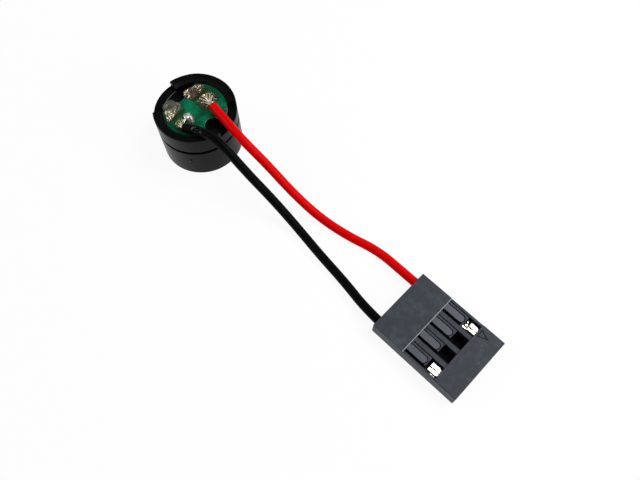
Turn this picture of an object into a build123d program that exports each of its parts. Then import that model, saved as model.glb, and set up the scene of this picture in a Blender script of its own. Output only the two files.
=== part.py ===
from build123d import *
import math
import os

# Twelve-millimetre magnetic buzzer with two soldered leads and a four-way header socket.
# Units are millimetres.  The buzzer stands on its sound face at Z = 0 with its axis on Z,
# its circuit board looks up, and the leads and the socket run out along +X.

# ---- case shells ----
case_d = 12.0
case_h = 8.4
case_wall = 0.8
front_h = 5.1
face_t = 0.8
sound_hole_d = 2.0
chamber_r = 4.3
seat_z = 2.3
front_edge_r = 0.1
groove_h = 0.5
groove_depth = 0.4
spigot_wall = 0.52
spigot_clear = 0.03
rim_edge_r = 0.15
parting_edge_r = 0.08
rim_notch_depth = 1.0
rim_notch_span = 58.0
rim_notch_angle = 25.0
rim_flare = 0.35
rim_flare_h = 0.5

# ---- sound generator, stacked up from the seat in the front shell ----
floor_t = 0.95
stack_clear = 0.05
diaphragm_t = 0.1
weight_d = 3.8
weight_t = 0.5
spacer_t = 0.6
spacer_bore_r = 4.2
magnet_bore_r = 3.3
yoke_t = 0.8
core_d = 2.0
core_clear = 0.01
core_air_gap = 0.3
coil_clear = 0.05
coil_d = 5.6
coil_end_gap = 0.1

# ---- fine leads of the coil ----
lead_d = 0.12
lead_bend_r = 0.15
lead_proud = 0.2
lead_hole_r = 0.25
lead_root = 0.8

# ---- circuit board ----
board_t = 0.8
board_clear = 0.05
board_below_rim = 0.65
board_flat_depth = 1.15
left_notch_out = 0.3
left_notch_y = -0.35
left_notch_r = 1.2
right_notch_in = 0.85
right_notch_y = 0.1
right_notch_r = 1.2

# ---- copper lands on the board ----
foil_t = 0.05
foil_margin = 0.2
foil_corner_r = 0.5
foil_from_flat = 0.1
red_foil_low_y = 0.8
red_foil_high = (0.75, 3.7)
black_foil_low_y = -4.15
black_foil_high = (1.45, -0.95)

# ---- solder joints: centre x, centre y, half width, half length, height, turn ----
solder_edge = 0.6
coil_red_joint = (-2.5, 2.25, 0.72, 1.55, 0.5, -18.0)
coil_black_joint = (-2.3, -2.5, 0.85, 1.45, 0.6, 32.0)
red_joint = (-0.05, 2.35, 0.85, 1.4, 0.7, -8.0)
black_joint = (0.42, -2.3, 0.8, 1.5, 0.6, 0.0)

# ---- leads ----
insulation_d = 1.25
conductor_d = 0.48
conductor_clear = 0.02
bare_bend_back = 0.35
bare_bend_r = 0.45
least_bend_diameters = 5.0
bend_share = 0.45

# ---- four-way header socket ----
pitch = 2.54
ways = 4
housing_x = 39.25
housing_y = 0.6
housing_l = 14.0
housing_edge_r = 0.1
cavity_floor = 0.36
cavity_clear = 0.07
roof_t = 0.54
end_wall = 0.8
pin_hole = 1.0
pin_chamfer = 0.3
rear_block_l = 5.15
tongue_l = 3.3
window_l = 1.95
window_step = 0.2
step_edge_r = 0.07
slot_wide = 0.42
slot_thin = 0.13
pad_w = 0.94
pad_end_gap = 0.25
pad_groove_w = 0.13
pad_groove_depth = 0.12
latch_hook_l = 0.5
latch_hook_h = 0.25
latch_clear = 0.1
hook_root = 0.1
mark_w = 1.25
mark_l = 1.55
mark_line = 0.14
mark_depth = 0.08
mark_from_edge = 0.3

# ---- crimp terminals ----
sheet_t = 0.15
barrel_clear = 0.01
grip_from_end = 1.4
grip_l = 1.4
crimp_from_end = 4.15
crimp_l = 1.9
ramp_l = 0.9
neck_side_h = 0.35
spine_w = 0.8
spine_grip_overlap = 0.3
spine_step_start = 0.2
sleeve_past_grip = 0.15
strand_past_crimp = 0.3
box_w = 1.7
box_h = 1.45
box_side_clear = 0.1
box_corner_r = 0.3
box_rise = 0.1
box_seam = 0.1
box_end_gap = 0.1
box_roof_setback = 0.35
box_wall_setback = 0.3
leaf_w = 0.8
leaf_inset = 0.3
leaf_rise = 0.45
leaf_t = 0.1
leaf_root = 0.05

# ---- how far cutting shapes run past what they cut ----
past = 1.0

# ---- derived sizes ----
case_r = case_d / 2
front_bore_r = case_r - case_wall
spigot_r = front_bore_r - spigot_clear
pocket_r = spigot_r - spigot_wall
stack_r = pocket_r - stack_clear
diaphragm_r = front_bore_r - stack_clear
board_top = case_h - board_below_rim
board_z = board_top - board_t
board_r = pocket_r - board_clear
yoke_top = board_z - floor_t
yoke_z = yoke_top - yoke_t
spacer_z = seat_z + diaphragm_t
magnet_z = spacer_z + spacer_t
rim_floor = case_h - rim_notch_depth
board_flat_x = board_flat_depth - board_r
left_notch_x = board_flat_x - left_notch_out
right_notch_x = board_r - right_notch_in
foil_low_x = board_flat_x + foil_from_flat
foil_top = board_top + foil_t
body_z = front_h + groove_h
core_r = core_d / 2
coil_r = coil_d / 2
coil_lead_r = (coil_r + magnet_bore_r) / 2
wire_r = insulation_d / 2
strand_r = conductor_d / 2
lead_r = lead_d / 2
cavity_w = box_w + 2 * box_side_clear
cavity_h = insulation_d + 2 * (barrel_clear + sheet_t) + cavity_clear
cavity_top = cavity_floor + cavity_h
housing_h = cavity_top + roof_t
wire_z = cavity_floor + cavity_h / 2
window_x = housing_x + rear_block_l
tongue_tip_x = window_x + tongue_l
front_block_x = tongue_tip_x + window_l
window_z = housing_h - window_step
crimp_x = housing_x + crimp_from_end
grip_x = housing_x + grip_from_end
grip_end_x = grip_x + grip_l
insulation_end_x = grip_end_x + sleeve_past_grip
crimp_end_x = crimp_x + crimp_l
strand_end_x = crimp_end_x + strand_past_crimp
neck_x = crimp_end_x + ramp_l
box_x = tongue_tip_x + latch_clear
box_z = cavity_floor + box_rise
box_end_x = housing_x + housing_l - end_wall - box_end_gap
reach = 2 * case_d


def way_y(index):
    """Place in Y of one way of the socket, counted from the marked end."""
    return housing_y + pitch * ((ways - 1) / 2 - index)


red_y = way_y(0)
black_y = way_y(ways - 1)



def lying_on(level, lift):
    """Height of a sleeve's middle line when its underside is a lift above a level."""
    return level + wire_r + lift


# ---- routes of the two leads, from the board to the grip of each terminal ----
# Red crosses the case in the notch of its rim, black crosses over the rim itself.
red_route = [
    (1.5, 1.9, lying_on(foil_top, 0.075)),
    (4.6, 1.5, lying_on(rim_floor, 0.645)),
    (8.9, 0.9, lying_on(rim_floor, 0.595)),
    (13.2, 1.45, 6.1),
    (17.6, 2.0, 2.75),
    (22.2, 2.55, lying_on(0.0, 0.095)),
    (27.2, 3.2, lying_on(0.0, 0.035)),
    (32.2, 4.6, lying_on(0.0, 0.035)),
    (37.4, red_y, wire_z),
    (insulation_end_x, red_y, wire_z),
]
red_bare_end = (0.0, 2.2, foil_top + 0.5)
black_route = [
    (1.4, -3.5, lying_on(foil_top, 0.055)),
    (4.3, -1.95, lying_on(case_h, 0.175)),
    (8.1, -1.6, lying_on(case_h, 0.125)),
    (12.4, -1.65, 6.7),
    (16.8, -0.95, 3.2),
    (21.5, -0.85, lying_on(0.0, 0.095)),
    (26.7, -1.6, lying_on(0.0, 0.035)),
    (31.9, -2.15, lying_on(0.0, 0.035)),
    (37.4, black_y, wire_z),
    (insulation_end_x, black_y, wire_z),
]
black_bare_end = (0.45, -3.0, foil_top + 0.35)


def disc(radius, low, high, centre=(0.0, 0.0)):
    """Upright cylinder between two heights."""
    base = Plane.XY.offset(low) * Pos(centre[0], centre[1]) * Circle(radius)
    return extrude(base, amount=high - low)


def ring(outer, inner, low, high):
    """Upright ring between two heights."""
    return disc(outer, low, high) - disc(inner, low, high)


def block(low, high):
    """Box between two corners."""
    size = [h - l for l, h in zip(low, high)]
    middle = [(h + l) / 2 for l, h in zip(low, high)]
    return Pos(*middle) * Box(*size)


def turned(points):
    """Solid of revolution about Z from a closed outline of (radius, height) points."""
    outline = Plane.XZ * make_face(Polyline(*points, close=True))
    return revolve(outline, Axis.Z)


def sector(angle, span, low, high):
    """Wedge from the axis outwards, centred on an angle, between two heights."""
    half = math.radians(span / 2)
    middle = math.radians(angle)
    corners = [(0.0, 0.0)]
    for step in (-1.0, -0.5, 0.0, 0.5, 1.0):
        turn = middle + half * step
        corners.append((reach * math.cos(turn), reach * math.sin(turn)))
    wedge = Plane.XY.offset(low) * make_face(Polyline(*corners, close=True))
    return extrude(wedge, amount=high - low)


def lead_spot(joint):
    """Place where a coil lead rises, on the line from the axis to its joint."""
    angle = math.atan2(joint[1], joint[0])
    return coil_lead_r * math.cos(angle), coil_lead_r * math.sin(angle)


def lead_holes(radius, low, high):
    """Two round passages for the coil leads."""
    first = disc(radius, low, high, lead_spot(coil_red_joint))
    return first + disc(radius, low, high, lead_spot(coil_black_joint))


def front_case():
    """Cup with the sound hole in its face and a seat for the diaphragm."""
    shell = turned([
        (0.0, 0.0),
        (case_r, 0.0),
        (case_r, front_h),
        (front_bore_r, front_h),
        (front_bore_r, seat_z),
        (chamber_r, seat_z),
        (chamber_r, face_t),
        (0.0, face_t),
    ])
    foot = shell.edges().filter_by(GeomType.CIRCLE).group_by(Axis.Z)[0]
    shell = fillet(foot, front_edge_r)
    lip = shell.edges().filter_by(GeomType.CIRCLE).group_by(Axis.Z)[-1].sort_by(SortBy.RADIUS)[-1]
    shell = fillet(lip, parting_edge_r)
    return shell - disc(sound_hole_d / 2, -past, face_t + past)


def rear_case():
    """Ring with a spigot in the front cup, a floor under the board and a notched rim."""
    shell = turned([
        (0.0, yoke_top),
        (pocket_r, yoke_top),
        (pocket_r, magnet_z),
        (spigot_r, magnet_z),
        (spigot_r, front_h),
        (case_r - groove_depth, front_h),
        (case_r - groove_depth, body_z),
        (case_r, body_z),
        (case_r, case_h),
        (pocket_r + rim_flare, case_h),
        (pocket_r, case_h - rim_flare_h),
        (pocket_r, board_z),
        (0.0, board_z),
    ])
    rim = shell.edges().filter_by(GeomType.CIRCLE).group_by(Axis.Z)[-1].sort_by(SortBy.RADIUS)[-1]
    shell = fillet(rim, rim_edge_r)
    widest = shell.edges().filter_by(GeomType.CIRCLE).group_by(SortBy.RADIUS)[-1]
    shell = fillet(widest.sort_by(Axis.Z)[0], parting_edge_r)
    for turn in (0.0, 180.0):
        shell -= sector(rim_notch_angle + turn, rim_notch_span, rim_floor, case_h + past)
    return shell - lead_holes(lead_hole_r, yoke_top - past, board_z + past)


def diaphragm():
    """Thin steel disc on the seat of the front cup."""
    return disc(diaphragm_r, seat_z, spacer_z)


def diaphragm_weight():
    """Small steel disc carried on the middle of the diaphragm."""
    return disc(weight_d / 2, seat_z - weight_t, seat_z)


def spacer_ring():
    """Ring that clamps the diaphragm and sets the air gap."""
    return ring(diaphragm_r, spacer_bore_r, spacer_z, magnet_z)


def ring_magnet():
    """Ring magnet round the coil."""
    return ring(stack_r, magnet_bore_r, magnet_z, yoke_z)


def yoke_plate():
    """Steel plate over the magnet, with the core's bore and passages for the coil leads."""
    plate = ring(stack_r, core_r + core_clear, yoke_z, yoke_top)
    return plate - lead_holes(lead_hole_r, yoke_z - past, yoke_top + past)


def pole_core():
    """Iron core, flush with the yoke plate and short of the diaphragm."""
    return disc(core_r, spacer_z + core_air_gap, yoke_top)


def coil_lead(joint):
    """Fine wire from the winding out and up to its joint on the board."""
    spot_x, spot_y = lead_spot(joint)
    inside = lead_root * coil_r / coil_lead_r
    level = yoke_z - coil_clear - 2 * lead_d
    path = FilletPolyline(
        (spot_x * inside, spot_y * inside, level),
        (spot_x, spot_y, level),
        (spot_x, spot_y, foil_top + lead_proud),
        radius=lead_bend_r,
    )
    return sweep(Plane(origin=path @ 0, z_dir=path % 0) * Circle(lead_r), path=path)


def coil():
    """Winding round the core with its two ends led up to the board."""
    winding = ring(coil_r, core_r + coil_clear, magnet_z + coil_end_gap, yoke_z - coil_clear)
    return winding + coil_lead(coil_red_joint) + coil_lead(coil_black_joint)


def board_outline(margin):
    """Disc with a flat on one side and two round notches, drawn in by a margin."""
    outline = Circle(board_r - margin)
    width = board_r - board_flat_x - margin
    outline &= Pos(board_flat_x + margin + width / 2, 0) * Rectangle(width, 2 * board_r)
    outline -= Pos(left_notch_x, left_notch_y) * Circle(left_notch_r + margin)
    outline -= Pos(right_notch_x, right_notch_y) * Circle(right_notch_r + margin)
    return outline


def circuit_board():
    """Notched board, bored for the coil leads."""
    board = extrude(Plane.XY.offset(board_z) * board_outline(0.0), amount=board_t)
    return board - lead_holes(lead_hole_r, board_z - past, board_top + past)


def foil(low_y, high):
    """Copper land from the board's flat to a high corner, kept inside the board's edge."""
    high_x, high_y = high
    land = Pos((foil_low_x + high_x) / 2, (low_y + high_y) / 2)
    land *= RectangleRounded(high_x - foil_low_x, high_y - low_y, foil_corner_r)
    land &= board_outline(foil_margin)
    layer = extrude(Plane.XY.offset(board_top) * land, amount=foil_t)
    return layer - lead_holes(lead_hole_r, board_top - past, foil_top + past)


def joint_mound(joint):
    """Rounded mound of solder on its land."""
    centre_x, centre_y, half_w, half_l, height, turn = joint
    foot = Pos(centre_x, centre_y) * Rot(0, 0, turn) * Ellipse(half_w, half_l)
    mound = extrude(Plane.XY.offset(foil_top) * foot, amount=height)
    top = mound.edges().group_by(Axis.Z)[-1]
    return fillet(top, height * solder_edge)


def coil_solder(joint):
    """Joint over a coil lead, with room for the lead itself."""
    spot = lead_spot(joint)
    return joint_mound(joint) - disc(lead_r + core_clear, board_top, foil_top + lead_proud, spot)


def wire_solder(joint, route, bare_end):
    """Joint round the bared end of a lead."""
    return joint_mound(joint) - lead_tube(route, bare_end, strand_r + conductor_clear / 2)


def bend_radii(route):
    """Radius at each corner: a share of its shorter run over the tangent of half its turn."""
    points = [Vector(*point) for point in route]
    radii = []
    for before, here, after in zip(points, points[1:], points[2:]):
        run = min((here - before).length, (after - here).length)
        half_turn = math.radians((here - before).get_angle(after - here)) / 2
        radii.append(bend_share * run / math.tan(half_turn))
    return radii


def bare_corner(route):
    """Point before the insulation, on the line of the first run, where the strands turn."""
    first = Vector(*route[0])
    along = (Vector(*route[1]) - first).normalized()
    return first - along * bare_bend_back


def swept(route, radii, radius):
    """Round tube along straight runs joined by tangent arcs."""
    path = FilletPolyline(*route, radius=radii)
    return sweep(Plane(origin=path @ 0, z_dir=path % 0) * Circle(radius), path=path)


def lead_tube(route, bare_end, radius):
    """Conductor from the joint on the board to past the crimp of its terminal."""
    tail = (strand_end_x, route[-1][1], route[-1][2])
    points = [bare_end, tuple(bare_corner(route)), *route[1:-1], tail]
    return swept(points, [bare_bend_r, *bend_radii(route)], radius)


def insulation(route):
    """Plastic sleeve along the route, bored for the conductor."""
    radii = bend_radii(route)
    sleeve = swept(route, radii, wire_r)
    return sleeve - swept(route, radii, strand_r + conductor_clear)


def housing_shell():
    """Outer block of the socket with its top lowered along the window band."""
    low_y = housing_y - ways * pitch / 2
    high_y = housing_y + ways * pitch / 2
    shell = block((housing_x, low_y, 0.0), (housing_x + housing_l, high_y, housing_h))
    shell = fillet(shell.edges(), housing_edge_r)
    low = (window_x, low_y - past, window_z)
    high = (front_block_x, high_y + past, housing_h + past)
    shell -= block(low, high)
    across = shell.edges().filter_by(Axis.Y).group_by(Axis.Z)[-1]
    steps = across.filter_by_position(Axis.X, window_x - past, front_block_x + past)
    return fillet(steps, step_edge_r)


def way_cavity(centre_y):
    """Chamber for one terminal, with its square pin hole and lead-in."""
    wall_x = housing_x + housing_l - end_wall
    half = cavity_w / 2
    low = (housing_x - past, centre_y - half, cavity_floor)
    cavity = block(low, (wall_x, centre_y + half, cavity_top))
    mouth = Plane(origin=(housing_x + housing_l, centre_y, wire_z), z_dir=(1, 0, 0))
    hole = extrude(mouth.offset(-end_wall - past) * Rectangle(pin_hole, pin_hole), amount=2 * past)
    wide = pin_hole + 2 * pin_chamfer
    lead_in = loft([
        mouth * Rectangle(wide, wide),
        mouth.offset(-pin_chamfer) * Rectangle(pin_hole, pin_hole),
    ])
    return cavity + hole + lead_in


def tongue_edges(centre_y):
    """Lowest and highest Y of a latch tongue, between its wide and its thin slot."""
    half = cavity_w / 2
    return centre_y - half + slot_wide, centre_y + half - slot_thin


def way_window(centre_y):
    """Opening over one chamber that leaves the latch tongue standing."""
    half = cavity_w / 2
    low = (window_x, centre_y - half, cavity_top - past / 2)
    opening = block(low, (front_block_x, centre_y + half, housing_h))
    low_y, high_y = tongue_edges(centre_y)
    low = (window_x - past, low_y, cavity_top)
    return opening - block(low, (tongue_tip_x, high_y, housing_h + past))


def latch_hook(centre_y):
    """Hook under a tongue's tip that holds the terminal's box."""
    low_y, high_y = tongue_edges(centre_y)
    low = (tongue_tip_x - latch_hook_l, low_y, cavity_top - latch_hook_h)
    return block(low, (tongue_tip_x, high_y, cavity_top + hook_root))


def pad_outline(centre_y, margin):
    """Strip of a tongue's top from the window's edge to a round end, grown by a margin."""
    low_y = tongue_edges(centre_y)[0]
    half = pad_w / 2
    end_x = tongue_tip_x - pad_end_gap - half
    strip = Pos((window_x + end_x) / 2, low_y + (pad_w + margin) / 2)
    strip *= Rectangle(end_x - window_x, pad_w + margin)
    return strip + Pos(end_x, low_y + half) * Circle(half + margin)


def pad_groove(centre_y):
    """Groove along one side and round the end of the pad on a tongue."""
    line = pad_outline(centre_y, pad_groove_w) - pad_outline(centre_y, 0.0)
    return extrude(Plane.XY.offset(window_z - pad_groove_depth) * line, amount=past)


def first_way_mark():
    """Engraved outline of a small triangle beside the first way."""
    start = front_block_x + mark_from_edge
    outer = make_face(Polyline(
        (start, red_y + mark_w / 2),
        (start, red_y - mark_w / 2),
        (start + mark_l, red_y),
        close=True,
    ))
    line = outer - offset(outer, amount=-mark_line, kind=Kind.INTERSECTION)
    return extrude(Plane.XY.offset(housing_h - mark_depth) * line, amount=past)


def connector_housing():
    """Four-way socket housing with latch tongues in its window."""
    shell = housing_shell()
    for index in range(ways):
        shell -= way_cavity(way_y(index))
        shell -= way_window(way_y(index))
        shell += latch_hook(way_y(index))
        shell -= pad_groove(way_y(index))
    return shell - first_way_mark()


def terminal_barrel(start_x, length, bore_r, centre_y):
    """Crimped round barrel of a terminal."""
    plane = Plane(origin=(start_x, centre_y, wire_z), z_dir=(1, 0, 0))
    outer = extrude(plane * Circle(bore_r + sheet_t), amount=length)
    return outer - extrude(plane * Circle(bore_r), amount=length)


def terminal_spine(centre_y):
    """Strip under the barrels that steps up to the crimp and back down to the box."""
    grip_low = wire_z - wire_r - barrel_clear - sheet_t
    crimp_low = wire_z - strand_r - barrel_clear - sheet_t
    lower = [
        (grip_end_x - spine_grip_overlap, grip_low),
        (grip_end_x + spine_step_start, grip_low),
        (crimp_x, crimp_low),
        (crimp_end_x, crimp_low),
        (neck_x, box_z),
        (box_x + sheet_t, box_z),
    ]
    upper = [(x, z + sheet_t) for x, z in reversed(lower)]
    outline = Plane.XZ.offset(-centre_y) * make_face(Polyline(*lower, *upper, close=True))
    return extrude(outline, amount=spine_w / 2, both=True)


def terminal_neck(centre_y):
    """Low-walled channel between the crimp and the box."""
    half = box_w / 2
    low = (neck_x, centre_y - half, box_z)
    channel = block(low, (box_x, centre_y + half, box_z + neck_side_h))
    low = (neck_x - past, centre_y - half + sheet_t, box_z + sheet_t)
    return channel - block(low, (box_x, centre_y + half - sheet_t, housing_h))


def square_tube(centre_y, margin, corner_r):
    """Solid bar along the box with its outline drawn in by a margin."""
    width = box_w - 2 * margin
    height = box_h - 2 * margin
    centre = (box_x - margin, centre_y, box_z + box_h / 2)
    start = Plane(origin=centre, x_dir=(0, 1, 0), z_dir=(1, 0, 0))
    section = start * RectangleRounded(width, height, corner_r)
    return extrude(section, amount=box_end_x - box_x + 2 * margin)


def terminal_box(centre_y):
    """Square receptacle folded from the strip, open at its back, with a seam in its roof."""
    half = box_w / 2
    shell = square_tube(centre_y, 0.0, box_corner_r)
    shell -= square_tube(centre_y, sheet_t, box_corner_r - sheet_t)
    seam_low = (box_x - past, centre_y - box_seam / 2, box_z + box_h / 2)
    shell -= block(seam_low, (box_end_x + past, centre_y + box_seam / 2, housing_h))
    roof_low = (box_x - past, centre_y - half + sheet_t, box_z + box_h / 2)
    roof_end = box_x + box_roof_setback
    shell -= block(roof_low, (roof_end, centre_y + half + past, housing_h))
    wall_low = (box_x - past, centre_y - half - past, box_z + box_h - box_corner_r)
    return shell - block(wall_low, (box_x + box_wall_setback, centre_y + half + past, housing_h))


def terminal_leaf(centre_y):
    """Contact leaf that rises from the box's floor towards the pin."""
    floor = box_z + sheet_t
    middle = (box_x + box_end_x) / 2
    line = [
        (box_x + leaf_inset, floor - leaf_root),
        (middle, floor + leaf_rise),
        (box_end_x - leaf_inset, floor - leaf_root),
    ]
    upper = [(x, z + leaf_t) for x, z in reversed(line)]
    outline = Plane.XZ.offset(-centre_y) * make_face(Polyline(*line, *upper, close=True))
    return extrude(outline, amount=leaf_w / 2, both=True)


def terminal(centre_y):
    """Crimp terminal folded from one strip: grip, crimp, neck and box."""
    piece = terminal_barrel(grip_x, grip_l, wire_r + barrel_clear, centre_y)
    piece += terminal_barrel(crimp_x, crimp_l, strand_r + barrel_clear, centre_y)
    piece += terminal_spine(centre_y)
    piece += terminal_neck(centre_y)
    piece += terminal_box(centre_y)
    return piece + terminal_leaf(centre_y)


def report_bends(colour, route):
    """Print a route's bend radii, and its sleeve's outer volume against section by length."""
    radii = bend_radii(route)
    least = least_bend_diameters * insulation_d
    print(colour, "bend radii", [round(radius, 1) for radius in radii])
    print(colour, "all bends over", least, all(radius >= least for radius in radii))
    length = FilletPolyline(*route, radius=radii).length
    ratio = swept(route, radii, wire_r).volume / (math.pi * wire_r ** 2 * length)
    print(colour, "length", round(length, 2), "volume over section by length", round(ratio, 5))


def lead_nodes(colour, route, bare_end, joint):
    """Sleeve, conductor and board joint of one lead."""
    report_bends(colour, route)
    return {
        colour + "_insulation": insulation(route),
        colour + "_conductor": lead_tube(route, bare_end, strand_r),
        "solder_" + colour + "_lead": wire_solder(joint, route, bare_end),
    }


nodes = {
    "front_case": front_case(),
    "rear_case": rear_case(),
    "diaphragm": diaphragm(),
    "diaphragm_weight": diaphragm_weight(),
    "spacer_ring": spacer_ring(),
    "ring_magnet": ring_magnet(),
    "yoke_plate": yoke_plate(),
    "pole_core": pole_core(),
    "coil": coil(),
    "circuit_board": circuit_board(),
    "red_copper_land": foil(red_foil_low_y, red_foil_high),
    "black_copper_land": foil(black_foil_low_y, black_foil_high),
    "solder_coil_red_side": coil_solder(coil_red_joint),
    "solder_coil_black_side": coil_solder(coil_black_joint),
    **lead_nodes("red", red_route, red_bare_end, red_joint),
    **lead_nodes("black", black_route, black_bare_end, black_joint),
    "connector_housing": connector_housing(),
    "red_terminal": terminal(red_y),
    "black_terminal": terminal(black_y),
}

os.makedirs("parts", exist_ok=True)
for name, shape in nodes.items():
    export_step(shape, os.path.join("parts", name + ".step"))
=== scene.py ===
import logging
import math
from dataclasses import dataclass, field
from enum import Enum

import bpy
import numpy as np
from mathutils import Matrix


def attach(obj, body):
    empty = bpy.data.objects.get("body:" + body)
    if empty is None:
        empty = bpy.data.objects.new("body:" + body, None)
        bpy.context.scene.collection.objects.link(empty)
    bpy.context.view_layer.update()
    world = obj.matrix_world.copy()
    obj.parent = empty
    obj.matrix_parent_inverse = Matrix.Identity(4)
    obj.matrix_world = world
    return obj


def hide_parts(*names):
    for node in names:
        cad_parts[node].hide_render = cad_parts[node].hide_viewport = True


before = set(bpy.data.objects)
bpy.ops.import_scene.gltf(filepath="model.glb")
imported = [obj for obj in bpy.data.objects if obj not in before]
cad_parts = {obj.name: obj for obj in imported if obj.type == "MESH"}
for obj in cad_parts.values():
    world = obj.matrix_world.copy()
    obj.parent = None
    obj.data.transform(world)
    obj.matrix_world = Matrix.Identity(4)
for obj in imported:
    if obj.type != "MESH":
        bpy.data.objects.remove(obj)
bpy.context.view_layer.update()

MM = 0.001
LOG = logging.getLogger("buzzer")
WHITE = (1.0, 1.0, 1.0)
PITCH = 2.54
FIRST_WAY = 4.41
Point = tuple[float, float, float]
Colour = tuple[float, float, float]


# ---------------------------------------------------------------- shader maths


class Value:
    """A number socket; an expression on it adds Math nodes to its graph."""

    def __init__(self, graph: "Graph", socket: bpy.types.NodeSocket) -> None:
        """Wrap a socket.

        Args:
            graph: the graph that the socket's node is in.
            socket: the output socket.
        """
        self.graph = graph
        self.socket = socket

    def _with(self, operation: str, *others: "Value | float") -> "Value":
        """Add one Math node on this value and others."""
        return self.graph.value("ShaderNodeMath", {"operation": operation}, self, *others)

    def __add__(self, other: "Value | float") -> "Value":
        """Sum."""
        return self._with("ADD", other)

    __radd__ = __add__

    def __mul__(self, other: "Value | float") -> "Value":
        """Product."""
        return self._with("MULTIPLY", other)

    __rmul__ = __mul__

    def __sub__(self, other: "Value | float") -> "Value":
        """Difference."""
        return self._with("SUBTRACT", other)

    def __rsub__(self, other: float) -> "Value":
        """Difference from a plain number."""
        return self.graph.value("ShaderNodeMath", {"operation": "SUBTRACT"}, other, self)

    def __pow__(self, other: float) -> "Value":
        """Power."""
        return self._with("POWER", other)

    def size(self) -> "Value":
        """Absolute value."""
        return self._with("ABSOLUTE")

    def most(self, other: "Value | float") -> "Value":
        """Larger of two values."""
        return self._with("MAXIMUM", other)

    def least(self, other: "Value | float") -> "Value":
        """Smaller of two values."""
        return self._with("MINIMUM", other)

    def wrap(self, length: float) -> "Value":
        """Remainder over a repeat length, from 0 to that length."""
        return self._with("FLOORED_MODULO", length)

    def step(self, low: float, high: float) -> "Value":
        """Smooth rise from 0 at low to 1 at high; a fall where high is below low.

        Args:
            low: where the result is 0.
            high: where the result is 1.

        Returns:
            The eased value, kept from 0 to 1.
        """
        settings = {"interpolation_type": "SMOOTHSTEP", "clamp": True}
        if low < high:
            return self.graph.value("ShaderNodeMapRange", settings, self, low, high, 0.0, 1.0)
        return self.graph.value("ShaderNodeMapRange", settings, self, high, low, 1.0, 0.0)


    def band(self, rise: tuple[float, float], fall: tuple[float, float]) -> "Value":
        """1 between two soft edges.

        Args:
            rise: where the lower edge is 0 and where it is 1.
            fall: where the upper edge is 1 and where it is 0.

        Returns:
            The mask of the band.
        """
        return self.step(*rise) * self.step(fall[1], fall[0])


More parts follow.
